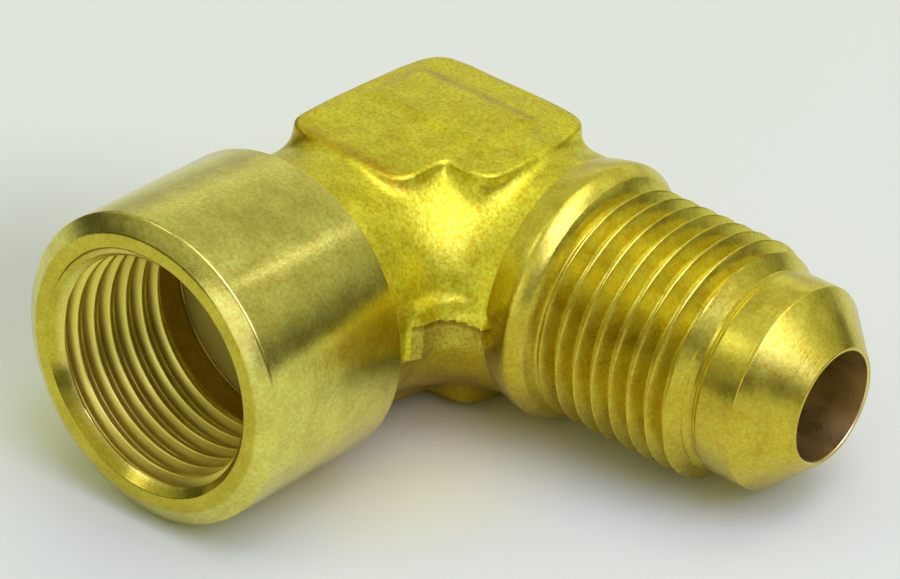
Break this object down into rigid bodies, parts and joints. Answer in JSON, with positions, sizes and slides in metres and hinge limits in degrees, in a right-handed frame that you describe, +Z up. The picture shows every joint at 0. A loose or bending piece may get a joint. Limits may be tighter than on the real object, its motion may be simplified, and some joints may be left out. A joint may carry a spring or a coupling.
{
  "type": "flare fitting elbow",
  "caption": "Forged brass 90 degree elbow fitting with a 45 degree male flare end, a female tapered pipe thread collar and square forged pads.",
  "frame": {"origin": "on the base plane (the lowest line of the pipe collar), under the middle of the fitting's footprint; the two port axes cross at x -10.87, y 9.54, z 10.3 mm", "axes": "+X out of the flare end, -Y out of the female pipe port, +Z up, square to the plane of the elbow and out of the top pad"},
  "size_m": [0.0424, 0.0368, 0.0206],
  "materials": {
    "brass": "satin"
  },
  "bodies": {
    "root": {"elbow_body": "brass"}
  },
  "joints": []
}
